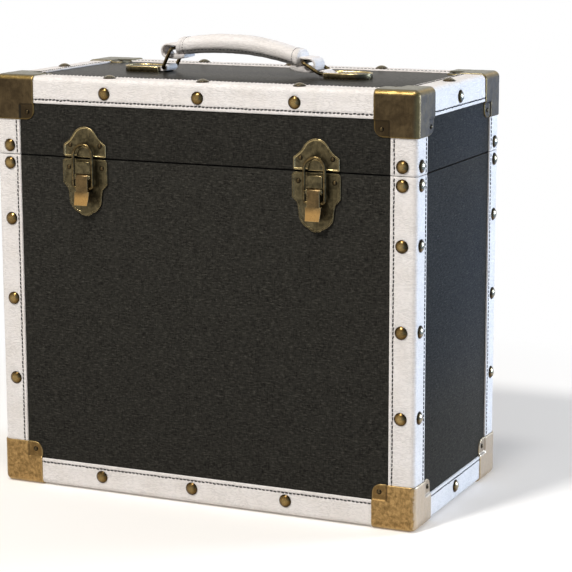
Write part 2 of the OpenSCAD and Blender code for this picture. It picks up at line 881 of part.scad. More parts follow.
// Outline of an end cap, drawn in by an inset
module cap_outline(inset) {
    r = cap_w / 2;
    translate([cap_len - r, 0]) circle(r - inset);
    translate([cap_start + inset, -r + inset])
        square([cap_len - r - cap_start - inset, 2 * (r - inset)]);
}

module handle_cap(side) {
    dish = 1;
    gap = 0.15;
    color(BRASS) at_handle_end(side) translate([0, 0, vinyl_top]) difference() {
        linear_extrude(cap_h) cap_outline(0);
        translate([0, 0, cap_h - dish]) linear_extrude(dish + cut) cap_outline(cap_rim);
        // Room for the strap, and the notch that shows it
        span([0, -tab_w / 2 - gap, -cut], [tab_len + gap, tab_w / 2 + gap, 2 * tab_t + gap]);
        span([0, -tab_w / 2 - gap, -cut], [cap_notch, tab_w / 2 + gap, cap_h + cut]);
    }
}

module handle_cap_left() handle_cap(-1);
module handle_cap_right() handle_cap(1);

// Grip: its own x axis runs from the left ring's upper bar to the right one's
bar_left = [handle_x - ring_bar_x + ring_len * sin(lean_left), ring_bar_z + ring_len * cos(lean_left)];
bar_right = [handle_x + ring_bar_x - ring_len * sin(lean_right), ring_bar_z + ring_len * cos(lean_right)];
bar_dist = norm(bar_right - bar_left);
grip_tilt = atan2(bar_right[1] - bar_left[1], bar_right[0] - bar_left[0]);

// The body starts a little inboard of the bars, and the loops hang from them
body_start = ring_wire_r + 1.3;
body_len = bar_dist - 2 * body_start;
eye_drop = eye_r - ring_wire_r - 0.4;

// Half sizes of the grip's body and the height of its middle, at a share t of its length
function end_round(t) = let (e = min(t, 1 - t) * body_len / 6) e >= 1 ? 1 : 0.72 + 0.28 * sin(90 * e);
function body_half_w(t) = grip_w / 2 * end_round(t);
function body_half_t(t) = grip_t / 2 * end_round(t) * (0.93 + 0.07 * sin(180 * t));
function body_mid(t) = 1 + grip_rise * (1 - pow(2 * t - 1, 2));

// A rounded, slightly squared section
function squared(v) = sign(v) * pow(abs(v), 0.8);

module grip_body() {
    stations = 28;
    sides = 24;
    points = [for (i = [0:stations]) let (t = i / stations)
        for (j = [0:sides - 1]) let (a = 360 * j / sides)
            [body_start + body_len * t,
             body_half_w(t) * squared(cos(a)),
             body_mid(t) + body_half_t(t) * squared(sin(a))]];
    last = stations * sides;
    walls = [for (i = [0:stations - 1], j = [0:sides - 1])
        let (a = i * sides + j, b = i * sides + (j + 1) % sides)
            each [[a, a + sides, b + sides], [a, b + sides, b]]];
    ends = [for (j = [1:sides - 2])
        each [[0, j, j + 1], [last, last + j + 1, last + j]]];
    polyhedron(points = points, faces = concat(walls, ends), convexity = 4);
}

// An end loop in the side view: a strap that leaves the body, goes round and comes back
module eye_loop(start, direction) {
    round_x = eye_len - eye_r - eye_t;
    translate([start, eye_w / 2, -eye_drop]) mirror([direction < 0 ? 1 : 0, 0, 0]) rotate([90, 0, 0])
        linear_extrude(eye_w) difference() {
            union() {
                translate([round_x, 0]) circle(eye_r + eye_t);
                translate([-3, -eye_r - eye_t]) square([round_x + 3, 2 * (eye_r + eye_t)]);
            }
            translate([round_x, 0]) circle(eye_r);
            translate([0, -eye_r]) square([round_x, 2 * eye_r]);
            translate([-4, -eye_r]) square([3, 2 * eye_r]);
        }
}

module handle_grip() {
    color(LEATHER) translate([bar_left[0], 0, bar_left[1]]) rotate([0, -grip_tilt, 0]) union() {
        grip_body();
        eye_loop(body_start, -1);
        eye_loop(body_start + body_len, 1);
    }
}

base_front_board();
base_back_board();
base_left_board();
base_right_board();
base_bottom_board();
base_cover();
base_lining();
lid_front_board();
lid_back_board();
lid_left_board();
lid_right_board();
lid_top_board();
lid_cover();
lid_lining();
base_front_trim();
base_back_trim();
base_left_trim();
base_right_trim();
base_post_front_left();
base_post_front_right();
base_post_back_left();
base_post_back_right();
lid_front_trim();
lid_back_trim();
lid_left_trim();
lid_right_trim();
lid_post_trims();
base_corner_front_left();
base_corner_front_right();
base_corner_back_left();
base_corner_back_right();
lid_corner_front_left();
lid_corner_front_right();
lid_corner_back_left();
lid_corner_back_right();
base_dome_nails();
lid_dome_nails();
base_small_nails();
lid_small_nails();
strike_plate_left();
strike_plate_right();
latch_plate_left();
latch_plate_right();
latch_lever_left();
latch_lever_right();
latch_bail_left();
latch_bail_right();
lever_pins();
hinge_base_leaf_left();
hinge_base_leaf_right();
hinge_lid_leaf_left();
hinge_lid_leaf_right();
hinge_pins();
handle_grip();
handle_ring_left();
handle_ring_right();
handle_tab_left();
handle_tab_right();
handle_cap_left();
handle_cap_right();
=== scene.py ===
import json
import math

import bmesh
import bpy
import numpy as np
from mathutils import Matrix, Vector, noise

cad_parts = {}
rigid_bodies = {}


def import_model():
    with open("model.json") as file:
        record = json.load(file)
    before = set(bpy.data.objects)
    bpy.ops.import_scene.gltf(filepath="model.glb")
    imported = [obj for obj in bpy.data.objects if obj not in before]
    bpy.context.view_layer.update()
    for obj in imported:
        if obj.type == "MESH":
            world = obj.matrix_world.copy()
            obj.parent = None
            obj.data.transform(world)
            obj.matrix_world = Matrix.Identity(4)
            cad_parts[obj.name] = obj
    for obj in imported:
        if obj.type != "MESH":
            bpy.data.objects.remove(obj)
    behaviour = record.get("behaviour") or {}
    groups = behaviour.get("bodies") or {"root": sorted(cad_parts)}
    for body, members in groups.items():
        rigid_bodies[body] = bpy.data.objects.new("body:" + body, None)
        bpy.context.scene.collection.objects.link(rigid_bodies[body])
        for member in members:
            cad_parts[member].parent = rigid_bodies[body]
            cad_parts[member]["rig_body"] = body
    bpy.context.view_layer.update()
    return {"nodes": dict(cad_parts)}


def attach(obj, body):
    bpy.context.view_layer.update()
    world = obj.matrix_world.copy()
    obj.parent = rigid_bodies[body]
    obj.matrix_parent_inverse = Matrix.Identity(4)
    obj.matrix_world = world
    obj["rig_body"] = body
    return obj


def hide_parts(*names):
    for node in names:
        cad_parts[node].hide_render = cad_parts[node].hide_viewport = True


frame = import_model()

rng = np.random.default_rng(7)

MM = 0.001

# Sizes of the CAD model, in millimetres
HALF_W, HALF_D = 186.0, 95.5
BOTTOM, TOP = 1.0, 346.0
SEAM, SEAM_GAP = 281.0, 0.6
TRIM_W, TRIM_T, EDGE_R = 22.3, 1.3, 4.5
CORNER_W, CORNER_T, CORNER_R = 36.0, 1.0, 8.0
DOME_D, DOME_H = 10.5, 2.3
SMALL_D, SMALL_H = 4.2, 1.1
NAIL_INSET, SIDE_NAIL_INSET = 12.3, 10.0
NAIL_PITCH, BOTTOM_SHIFT = 84.0, -8.7
SEAM_NAIL = 7.3
POST_DROPS = (54.0, 121.5, 190.0)
VINYL_Y = HALF_D - TRIM_T
LATCH_X, HINGE_X = 102.6, 100.0
PLATE_T = 1.0
BASE_RIM, LID_RIM = SEAM - SEAM_GAP / 2, SEAM + SEAM_GAP / 2
LEVER_BEND = SEAM - 27.5


# Node materials

class Nodes:
    """The nodes of a material or world; numbers, colours or sockets go in by input name."""

    def __init__(self, owner):
        self.owner = owner
        owner.use_nodes = True
        self.tree = owner.node_tree
        self.tree.nodes.clear()

    def add(self, kind, inputs=None, **settings):
        node = self.tree.nodes.new("ShaderNode" + kind)
        for key, value in settings.items():
            setattr(node, key, value)
        for key, value in (inputs or {}).items():
            self.put(node.inputs[key], value)
        return node

    def put(self, socket, value):
        if isinstance(value, bpy.types.NodeSocket):
            self.tree.links.new(value, socket)
        else:
            socket.default_value = value

    def math(self, operation, a, b=0.0, clamp=False):
        node = self.add("Math", operation=operation, use_clamp=clamp)
        self.put(node.inputs[0], a)
        self.put(node.inputs[1], b)
        return node.outputs[0]

    def mix(self, factor, a, b):
        node = self.add("Mix", data_type="RGBA")
        self.put(node.inputs[0], factor)
        self.put(node.inputs[6], a)
        self.put(node.inputs[7], b)
        return node.outputs[2]

    def steps(self, value, low, high, to_low=0.0, to_high=1.0):
        node = self.add("MapRange", {"Value": value, "From Min": low, "From Max": high,
                                     "To Min": to_low, "To Max": to_high})
        return node.outputs[0]

    def object_place(self):
        return self.add("TexCoord").outputs["Object"]

    def scaled(self, vector, scale):
        return self.add("Mapping", {"Vector": vector, "Scale": scale}).outputs[0]

    def noise(self, vector, scale, detail=2.0, rough=0.5, distortion=0.0):
        node = self.add("TexNoise", {"Vector": vector, "Scale": scale, "Detail": detail,
                                     "Roughness": rough, "Distortion": distortion})
        return node.outputs["Fac"]

    def cell_edges(self, vector, scale):
        node = self.add("TexVoronoi", {"Vector": vector, "Scale": scale},
                        feature="DISTANCE_TO_EDGE")
        return node.outputs["Distance"]

    def attribute(self, name):
        return self.add("Attribute", attribute_name=name).outputs["Fac"]

    def bump(self, height, distance, strength):
        node = self.add("Bump", {"Height": height, "Distance": distance, "Strength": strength})
        return node.outputs[0]

    def surface(self, inputs):
        shader = self.add("BsdfPrincipled", inputs)
        self.add("OutputMaterial", {"Surface": shader.outputs[0]})
        return self.owner


def new_material(name):
    return Nodes(bpy.data.materials.new(name))


def linear(r, g, b):
    """A colour of 0 to 255 as the shader takes it."""
    return tuple((c / 255 / 12.92) if c <= 10 else ((c / 255 + 0.055) / 1.055) ** 2.4
                 for c in (r, g, b)) + (1.0,)


def darker(colour, share):
    return tuple(c * share for c in colour[:3]) + (1.0,)


def vinyl_material():
    n = new_material("vinyl")
    place = n.add("UVMap", uv_map="weave").outputs[0]
    across = n.noise(n.scaled(place, (250, 860, 1)), 1.0, 3.0, 0.65, 0.5)
    down = n.noise(n.scaled(place, (900, 240, 1)), 1.0, 2.0, 0.6, 0.4)
    grain = n.noise(place, 2600.0, 2.0)
    patches = n.noise(place, 70.0, 3.0)
    threads = n.math("ADD", n.math("MULTIPLY", across, 0.62), n.math("MULTIPLY", down, 0.38))
    tone = n.steps(threads, 0.36, 0.64)
    dark = n.mix(n.steps(patches, 0.35, 0.65), linear(23, 22, 20), linear(33, 32, 29))
    colour = n.mix(tone, dark, linear(56, 54, 49))
    flecks = n.math("MULTIPLY", n.steps(across, 0.56, 0.7), n.steps(grain, 0.45, 0.65))
    colour = n.mix(n.math("MULTIPLY", flecks, 0.7, True), colour, linear(102, 98, 89))
    # The marked edges, the turned edges at the seam among them, are painted black: a painted shade
    # for the dark seam gap
    colour = n.mix(n.attribute("wear"), colour, linear(8, 8, 8))
    height = n.math("ADD", threads, n.math("MULTIPLY", grain, 0.15))
    rough = n.steps(threads, 0.3, 0.7, 0.38, 0.28)
    return n.surface({"Base Color": colour, "Roughness": rough, "Specular IOR Level": 0.017,
                      "Normal": n.bump(height, 0.0004, 0.4)})


def leather_material(light, shade):
    n = new_material("white_leather")
    place = n.object_place()
    # Bends the pebbles' edges
    stir = n.add("TexNoise", {"Vector": place, "Scale": 420.0, "Detail": 2.0}).outputs["Color"]
    shift = n.add("VectorMath", {0: stir, "Scale": 0.0012}, operation="SCALE").outputs[0]
    bent = n.add("VectorMath", {0: place, 1: shift}, operation="ADD").outputs[0]
    pebble = n.steps(n.cell_edges(bent, 700.0), 0.0, 0.32)
    fine = n.noise(place, 2200.0, 3.0, 0.6)
    broad = n.noise(place, 45.0, 3.0)
    # Long level creases, deeper in some places than in others
    level = n.noise(n.scaled(place, (0.3, 0.3, 1.0)), 560.0, 1.0, 0.5, 0.5)
    crease = n.steps(n.math("ABSOLUTE", n.math("SUBTRACT", level, 0.5)), 0.0, 0.09, 1.0, 0.0)
    crease = n.math("MULTIPLY", crease, n.steps(n.noise(place, 60.0, 1.0), 0.3, 0.7, 0.55, 1.0))
    height = n.math("ADD", n.math("MULTIPLY", pebble, 0.3),
                    n.math("ADD", n.math("MULTIPLY", crease, -0.8), n.math("MULTIPLY", fine, 0.18)))
    colour = n.mix(n.steps(broad, 0.35, 0.7), light, shade)
    # The creases are painted darker too, a painted shade in them
    colour = n.mix(n.math("MULTIPLY", crease, 0.36), colour, darker(shade, 0.6))
    # Darker where marked: along the stitches and the grip's seams, at the collars' and the tabs'
    # edges, and inside the handle's loops, where it is a painted shade
    dirt_and_shade = n.math("MULTIPLY", n.attribute("wear"), 0.55, True)
    colour = n.mix(dirt_and_shade, colour, darker(shade, 0.5))
    rough = n.steps(pebble, 0.0, 1.0, 0.62, 0.46)
    return n.surface({"Base Color": colour, "Roughness": rough, "Specular IOR Level": 0.4,
                      "Normal": n.bump(height, 0.00035, 0.7)})


def brass_material(name, dark, middle, bright, patch, rough, pale=None):
    """Aged brass. Where the mesh says so it is worn bright, darker with stains and, in the
    protectors' pressed squares, painted shade, or paler all over as a painted sheen.
    """
    n = new_material(name)
    place = n.object_place()
    clouds = n.noise(place, patch, 4.0, 0.6, 0.4)
    spots = n.noise(place, patch * 5.0, 3.0, 0.7)
    fine = n.noise(place, 3200.0, 2.0)
    tint = n.attribute("tint")
    aged = n.steps(n.math("ADD", clouds, n.math("MULTIPLY", tint, 0.3)), 0.36, 0.66)
    colour = n.mix(aged, dark, middle)
    streaks = n.noise(n.scaled(place, (1.0, 1.0, 0.07)), 1100.0, 2.0, 0.6)
    stain_and_shade = darker(dark, 0.4)
    # A painted sheen: marked faces are mixed towards a paler colour, in streaks, standing in for
    # highlights and reflections of the white studio
    if pale:
        painted_sheen_share = n.math("MULTIPLY", n.attribute("pale"), n.steps(streaks, 0.3, 0.6, 0.7, 1.0))
        colour = n.mix(painted_sheen_share, colour, pale)
    colour = n.mix(n.steps(streaks, 0.5, 0.8, 0.0, 0.4), colour, stain_and_shade)
    pits = n.steps(spots, 0.6, 0.74)
    colour = n.mix(n.math("MULTIPLY", pits, 0.4), colour, stain_and_shade)
    # Negative tint darkens: the nails' rim patina, and painted shade in the protectors' pressed
    # squares
    colour = n.mix(n.math("MULTIPLY", tint, -0.8, True), colour, stain_and_shade)
    worn = n.math("MULTIPLY", n.attribute("wear"), n.steps(spots, 0.3, 0.6, 0.55, 1.0), True)
    colour = n.mix(worn, colour, bright)
    shine = n.math("ADD", n.steps(spots, 0.3, 0.7, rough - 0.06, rough + 0.14),
                   n.math("MULTIPLY", worn, -0.1))
    height = n.math("ADD", n.math("MULTIPLY", spots, 0.6), n.math("MULTIPLY", fine, 0.25))
    return n.surface({"Base Color": colour, "Metallic": 1.0, "Roughness": shine,
                      "Normal": n.bump(height, 0.00012, 0.5)})


def lining_material():
    n = new_material("lining")
    place = n.add("UVMap", uv_map="weave").outputs[0]
    fibre = n.noise(place, 900.0, 4.0, 0.7)
    nap = n.noise(place, 90.0, 3.0)
    colour = n.mix(n.steps(fibre, 0.3, 0.7), linear(24, 22, 21), linear(48, 45, 42))
    colour = n.mix(n.math("MULTIPLY", nap, 0.5), colour, linear(30, 28, 27))
    return n.surface({"Base Color": colour, "Roughness": 0.95, "Specular IOR Level": 0.1,
                      "Sheen Weight": 0.25, "Sheen Roughness": 0.5,
                      "Normal": n.bump(fibre, 0.0004, 0.7)})


def board_material():
    n = new_material("board")
    place = n.object_place()
    fibre = n.noise(n.scaled(place, (1, 1, 3)), 700.0, 4.0, 0.7)
    specks = n.noise(place, 1900.0, 2.0)
    colour = n.mix(n.steps(fibre, 0.3, 0.7), linear(122, 92, 60), linear(172, 140, 100))
    colour = n.mix(n.math("MULTIPLY", n.steps(specks, 0.6, 0.75), 0.6), colour, linear(88, 62, 38))
    return n.surface({"Base Color": colour, "Roughness": 0.85,
                      "Normal": n.bump(fibre, 0.0003, 0.6)})


def thread_material():
    n = new_material("thread")
    place = n.object_place()
    twist = n.noise(place, 2600.0, 2.0)
    colour = n.mix(n.steps(twist, 0.35, 0.65), linear(16, 14, 14), linear(44, 40, 38))
    return n.surface({"Base Color": colour, "Roughness": 0.7, "Specular IOR Level": 0.3,
                      "Normal": n.bump(twist, 0.0002, 0.6)})


VINYL = vinyl_material()
LEATHER = leather_material(linear(241, 234, 229), linear(234, 226, 219))
BRASS_UPPER = brass_material("upper_brass", linear(66, 55, 39), linear(90, 76, 54),
                             linear(190, 158, 88), 130.0, 0.36, linear(150, 148, 130))
BRASS_LOWER = brass_material("lower_brass", linear(124, 98, 60), linear(180, 146, 95),
                             linear(206, 180, 124), 300.0, 0.38, linear(196, 179, 158))
BRASS_PLATE = brass_material("plate_brass", linear(65, 59, 43), linear(105, 95, 70),
                             linear(232, 208, 150), 220.0, 0.32)
BRASS_LEVER = brass_material("lever_brass", linear(84, 70, 48), linear(112, 92, 62),
                             linear(232, 204, 146), 180.0, 0.3, linear(184, 145, 88))
BRASS_WIRE = brass_material("wire_brass", linear(70, 59, 38), linear(116, 98, 64),
                            linear(236, 214, 162), 300.0, 0.22)
BRASS_NAIL = brass_material("nail_brass", linear(62, 48, 27), linear(110, 86, 48),
                            linear(222, 194, 134), 160.0, 0.2, linear(178, 174, 156))
BRASS_PIN = brass_material("pin_brass", linear(26, 22, 16), linear(62, 50, 32),
                           linear(150, 128, 88), 260.0, 0.34)
LINING = lining_material()
BOARD = board_material()
THREAD = thread_material()


# Mesh pieces

class Shape:
    """Vertices in millimetres with a wear-and-shade mark, a tint and a painted sheen each, and
    faces.
    """

    def __init__(self):
        self.points, self.faces = [], []
        self.marks = {"wear": [], "tint": [], "pale": []}
        self.count = 0

    def add(self, points, faces, **marks):
        points = np.asarray(points, float).reshape(-1, 3)
        self.points.append(points)
        for key, values in self.marks.items():
            value = np.asarray(marks.get(key, 0.0), float).reshape(-1)
            values.append(np.broadcast_to(value, (len(points),)))
        self.faces += [tuple(i + self.count for i in face) for face in faces]
        self.count += len(points)


def finish_piece(name, mesh, material, body, nodes, angle):
    mesh.shade_smooth()
    mesh.set_sharp_from_angle(angle=math.radians(angle))
    mesh.materials.append(material)
    obj = bpy.data.objects.new(name, mesh)
    bpy.context.scene.collection.objects.link(obj)
    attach(obj, body)
    if nodes:
        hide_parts(*nodes)
    return obj


def piece(name, shape, material, body, nodes=(), angle=50.0):
    mesh = bpy.data.meshes.new(name)
    mesh.from_pydata((np.concatenate(shape.points) * MM).tolist(), [], shape.faces)
    for key, values in shape.marks.items():
        data = np.concatenate(values).astype(np.float32)
        mesh.attributes.new(key, "FLOAT", "POINT").data.foreach_set("value", data)
    bm = bmesh.new()
    bm.from_mesh(mesh)
    bmesh.ops.remove_doubles(bm, verts=bm.verts, dist=0.002 * MM)
    bmesh.ops.recalc_face_normals(bm, faces=bm.faces)
    bm.to_mesh(mesh)
    bm.free()
    return finish_piece(name, mesh, material, body, nodes, angle)


def box_uv(mesh):
    """Plane coordinates in metres from each face's main direction."""
    layer = mesh.uv_layers.new(name="weave")
    for face in mesh.polygons:
        axis = max(range(3), key=lambda k: abs(face.normal[k]))
        u, v = ((1, 2), (0, 2), (0, 1))[axis]
        for i in face.loop_indices:
            co = mesh.vertices[mesh.loops[i].vertex_index].co
            layer.data[i].uv = (co[u] + 0.37 * axis, co[v])


def dress(node, material, bevel=0.25, uv=False):
    """A copy of a CAD node with its sharp edges softened and the softened edges marked: as wear on
    brass, darker on leather, and black on the vinyl covers, a painted shade.
    """
    source = frame["nodes"][node]
    mesh = bpy.data.meshes.new(node + "_finish")
    bm = bmesh.new()
    bm.from_mesh(source.data)
    bmesh.ops.remove_doubles(bm, verts=bm.verts, dist=0.001 * MM)
    bmesh.ops.dissolve_limit(bm, angle_limit=math.radians(0.5), verts=bm.verts, edges=bm.edges)
    wear = bm.loops.layers.float.new("wear")
    if bevel:
        sharp = [e for e in bm.edges if len(e.link_faces) == 2
                 and e.calc_face_angle(0.0) > math.radians(35)]
        made = bmesh.ops.bevel(bm, geom=sharp, offset=bevel * MM, segments=2, profile=0.5,
                               affect="EDGES", clamp_overlap=True)
        for face in made["faces"]:
            for loop in face.loops:
                loop[wear] = 1.0
    bm.to_mesh(mesh)
    bm.free()
    if "custom_normal" in mesh.attributes:
        mesh.attributes.remove(mesh.attributes["custom_normal"])
    if uv:
        for layer in list(mesh.uv_layers):
            mesh.uv_layers.remove(layer)
        box_uv(mesh)
    return finish_piece(node + "_finish", mesh, material, source["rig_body"], (node,), 50.0)


def grid_faces(rows, columns, closed=True):
    faces = []
    for i in range(rows - 1):
        for j in range(columns if closed else columns - 1):
            a, b = i * columns + j, i * columns + (j + 1) % columns
            faces.append((a, b, b + columns, a + columns))
    return faces


def tube_faces(rows, columns):
    """Faces of a closed tube with flat ends."""
    last = (rows - 1) * columns
    return grid_faces(rows, columns) + [tuple(range(columns))[::-1],
                                        tuple(last + j for j in range(columns))]


def bumps(points, size, amount, seed=0.0):
    """Smooth random heights at points, for hills about size across."""
    return np.array([noise.noise(Vector(p) / size + Vector((seed, 0, -seed)))
                     for p in points]) * amount


# Leather trims

def nail_places():
    """Every domed nail: its body, centre on the trims' surface and outward direction."""
    places = []

    def on_front(body, x, z):
        for side in (-1, 1):
            places.append((body, (x, side * HALF_D, z), (0, side, 0)))

    def on_end(body, y, z):
        for side in (-1, 1):
            places.append((body, (side * HALF_W, y, z), (side, 0, 0)))

    def post(body, z):
        for side in (-1, 1):
            on_front(body, side * (HALF_W - NAIL_INSET), z)
            on_end(body, side * (HALF_D - SIDE_NAIL_INSET), z)

    for i in (-1, 0, 1):
        on_front("base", BOTTOM_SHIFT + i * NAIL_PITCH, BOTTOM + NAIL_INSET)
        on_front("lid", i * NAIL_PITCH, TOP - NAIL_INSET)
        for side in (-1, 1):
            places.append(("lid", (i * NAIL_PITCH, side * (HALF_D - SIDE_NAIL_INSET), TOP),
                           (0, 0, 1)))
    on_end("base", 0.0, BOTTOM + NAIL_INSET)
    on_end("lid", 0.0, TOP - NAIL_INSET)
    for side in (-1, 1):
        places.append(("lid", (side * (HALF_W - SIDE_NAIL_INSET), 0, TOP), (0, 0, 1)))
    post("base", SEAM - SEAM_NAIL)
    for drop in POST_DROPS:
        post("base", SEAM - drop)
    post("lid", SEAM + SEAM_NAIL)
    return places


NAILS = nail_places()

# Distance of the stitches from a trim's inner edge, and how deep they pull the leather in
STITCH_IN, STITCH_DEEP = 3.2, 0.42
STITCH_PITCH, STITCH_LENGTH = 3.4, 2.9
# Distance between the points along a trim
TRIM_STEP = 2.6
# How far the leather lies under the trims' outer surface
LEATHER_LOW = 0.22


def trim_section():
    """One trim's outer line: places across the angle, outward directions, and distances from
    the nearer inner edge."""
    steps = [0.0, 0.12, 0.35, 0.8, 1.5, 2.2, 2.7, 3.0, 3.2, 3.4, 3.7, 4.3, 5.3, 6.8, 8.6, 10.4,
             12.2, 14.0, 15.8]
    places, outward, inside = [], [], []
    for e in steps:
        places.append((TRIM_W - e, 0.0))
        outward.append((0.0, -1.0))
        inside.append(e)
    for k in range(9):
        a = math.radians(270 - 90 * k / 8)
        places.append((EDGE_R + EDGE_R * math.cos(a), EDGE_R + EDGE_R * math.sin(a)))
        outward.append((math.cos(a), math.sin(a)))
        inside.append(18.0)
    for e in reversed(steps):
        places.append((0.0, TRIM_W - e))
        outward.append((-1.0, 0.0))
        inside.append(e)
    return np.array(places), np.array(outward), np.array(inside)


def leather_rise(inside):
    """Height of the sewn leather over its lowest level, by the distance from the edge."""
    lip = -0.75 * np.exp(-(inside / 0.22) ** 2)
    groove = -STITCH_DEEP * np.exp(-((inside - STITCH_IN) / 0.55) ** 2)
    puff = 0.16 * np.exp(-((inside - 1.5) / 0.9) ** 2) + 0.14 * np.exp(-((inside - 6.2) / 2.4) ** 2)
    return lip + groove + puff


def trim(shape, start, end, to_world):
    places, outward, inside = trim_section()
    count = max(int((end - start) / TRIM_STEP), 4)
    along = np.linspace(start, end, count + 1)
    along = np.concatenate([[start], [start + 0.35], along[1:-1], [end - 0.35], [end]])
    rise = leather_rise(inside)
    # The leather sinks round the nails, and near its ends
    nails = [np.array(centre) for _, centre, _ in NAILS]
    rings, wear = [], []
    for s in along:
        base = to_world(places[:, 0], places[:, 1], np.full(len(places), s))
        away = to_world(places[:, 0] + outward[:, 0], places[:, 1] + outward[:, 1],
                        np.full(len(places), s)) - base
        wave = bumps(base, 14.0, 0.11) + bumps(base, 4.0, 0.05, 3.0)
        dip = np.zeros(len(base))
        for centre in nails:
            if np.abs(base[0] - centre).max() > 60:
                continue
            reach = np.linalg.norm(base - centre, axis=1)
            dip += 0.38 * np.exp(-(np.maximum(reach - 4.6, 0) / 2.4) ** 2)
        ends = 0.3 * math.exp(-((min(s - start, end - s)) / 0.3) ** 2)
        height = rise + wave - dip - ends - LEATHER_LOW
        ring = base + away * height[:, None]
        # The angle's inner side, over the box's edge
        under = to_world(np.array([TRIM_T, TRIM_T + 1.2, TRIM_W]),
                         np.array([TRIM_W, TRIM_T + 1.2, TRIM_T]), np.full(3, s))
        rings.append(np.concatenate([ring, under]))
        wear.append(np.concatenate([np.exp(-((inside - STITCH_IN) / 0.3) ** 2) * 0.3, [0, 0, 0]]))
    columns = len(rings[0])
    shape.add(np.concatenate(rings), tube_faces(len(rings), columns), wear=np.concatenate(wear))


def edge_trim(axis, a, b):
    """A trim along one axis; a and b are the sides of the case it lies on, in the other two
    axes' order. Returns a function from the angle's own places to the case's."""
    def to_world(first, second, along):
        if axis == 2:
            return np.stack([a * (HALF_W - first), b * (HALF_D - second), along], -1)
        height = TOP - second if b > 0 else BOTTOM + second
        if axis == 1:
            return np.stack([a * (HALF_W - first), along, height], -1)
        return np.stack([along, a * (HALF_D - first), height], -1)
    return to_world


def stitch_row(rows, to_world, start, end):
    """Stitches on both faces of a trim; each is its two ends and its outward direction."""
    count = int((end - start) / STITCH_PITCH)
    rest = end - start - count * STITCH_PITCH
    first = start + rest / 2 + (STITCH_PITCH - STITCH_LENGTH) / 2
    for face in (0, 1):
        def spot(across, depth, along):
            return to_world(*((across, depth) if face == 0 else (depth, across)), along)

        middle = TRIM_W - STITCH_IN
        away = spot(middle, -1.0, first) - spot(middle, 0.0, first)
        for k in range(count):
            s = first + k * STITCH_PITCH
            wander = rng.normal(0, 0.22, 2) + (0.16, -0.16)
            rows.append((spot(middle + wander[0], 0.0, s),
                         spot(middle + wander[1], 0.0, s + STITCH_LENGTH), away))


def stitches(shape, rows, low, radius=0.52):
    """Thread from each first end to each second one, arching over and diving in at the ends."""
    steps = np.array([0.0, 0.12, 0.35, 0.65, 0.88, 1.0])
    rise = np.array([-0.55, -0.1, 0.08, 0.08, -0.1, -0.55])
    thick = np.array([0.6, 0.95, 1.0, 1.0, 0.95, 0.6]) * radius
    sides = 6
    turn = np.arange(sides) * 2 * np.pi / sides
    faces = tube_faces(len(steps), sides)
    for a, b, away in rows:
        side = np.cross(b - a, away)
        side /= np.linalg.norm(side)
        centres = a + (b - a) * steps[:, None] + away * (rise - low)[:, None]
        ring = (np.cos(turn)[None, :, None] * side + np.sin(turn)[None, :, None] * away)
        shape.add(centres[:, None, :] + ring * thick[:, None, None], faces)


def make_trims():
    # The stitches end a little way under the protectors
    hidden = CORNER_W - 3.0
    ways = ((0, HALF_W - EDGE_R, HALF_W - hidden, ("front", "back")),
            (1, HALF_D - TRIM_W, HALF_D - hidden, ("left", "right")))
    for body, b in (("base", -1), ("lid", 1)):
        rows = []
        for axis, reach, sewn, words in ways:
            for side, word in zip((-1, 1), words):
                shape = Shape()
                at = edge_trim(axis, side, b)
                trim(shape, -reach, reach, at)
                stitch_row(rows, at, -sewn, sewn)
                name = f"{body}_{word}_trim"
                piece(name + "_leather", shape, LEATHER, body, (name,))
        low, high = (BOTTOM + TRIM_W, BASE_RIM) if body == "base" else (LID_RIM, TOP - TRIM_W)
        first, last = ((BOTTOM + hidden, BASE_RIM - 0.6) if body == "base"
                       else (LID_RIM + 0.6, TOP - hidden))
        lid_posts = Shape()
        for x, side in ((-1, "left"), (1, "right")):
            for y, word in ((-1, "front"), (1, "back")):
                at = edge_trim(2, x, y)
                shape = Shape() if body == "base" else lid_posts
                trim(shape, low, high, at)
                stitch_row(rows, at, first, last)
                if body == "base":
                    name = f"base_post_{word}_{side}"
                    piece(name + "_leather", shape, LEATHER, body, (name,))
        if body == "lid":
            piece("lid_post_trims_leather", lid_posts, LEATHER, body,
                  ("lid_post_trims",))
        thread = Shape()
        stitches(thread, rows, LEATHER_LOW + STITCH_DEEP - 0.3)
        piece(body + "_trim_stitches", thread, THREAD, body)


# Corner protectors

# Where the sheet starts to dip behind the trims, and how wide the slope is
PRESS_AT, PRESS_RAMP = 22.0, 2.2


def soft_step(t):
    t = np.clip(t, 0, 1)
    return t * t * (3 - 2 * t)


def sheet_layers(axis, a, b, edge, pocket, seed):
    """Outer and inner side of a protector's sheet over one face; a and b are the places on it,
    edge the distance from its free edges."""
    # The free corner is rounded
    inner = CORNER_W - CORNER_R
    over = (a > inner) & (b > inner)
    x, y = (a - inner) / CORNER_R, (b - inner) / CORNER_R
    flat_a = np.where(over, inner + CORNER_R * x * np.sqrt(1 - np.clip(y, 0, 1) ** 2 / 2), a)
    flat_b = np.where(over, inner + CORNER_R * y * np.sqrt(1 - np.clip(x, 0, 1) ** 2 / 2), b)
    face = np.zeros((len(a), 3))
    face[:, axis] = -CORNER_T
    face[:, (axis + 1) % 3] = flat_a
    face[:, (axis + 2) % 3] = flat_b
    # The sheet bends round the case's rounded edges, is dented, and rolls down at its free edges
    core = np.maximum(face, EDGE_R)
    out = face - core
    out /= np.linalg.norm(out, axis=1)[:, None]
    dent = bumps(face, 7.0, 0.14, seed + axis * 0.01) + bumps(face, 3.0, 0.05, seed)
    dent *= np.clip(edge / 3.0, 0, 1)
    drop = 0.42 * np.clip(1 - edge / 0.75, 0, 1) ** 1.6
    top = core + out * (EDGE_R + CORNER_T - drop - 0.1 + np.minimum(dent, 0.1))[:, None]
    under = core + out * EDGE_R
    top[:, axis] += TRIM_T * pocket
    under[:, axis] += TRIM_T * pocket
    return top, under


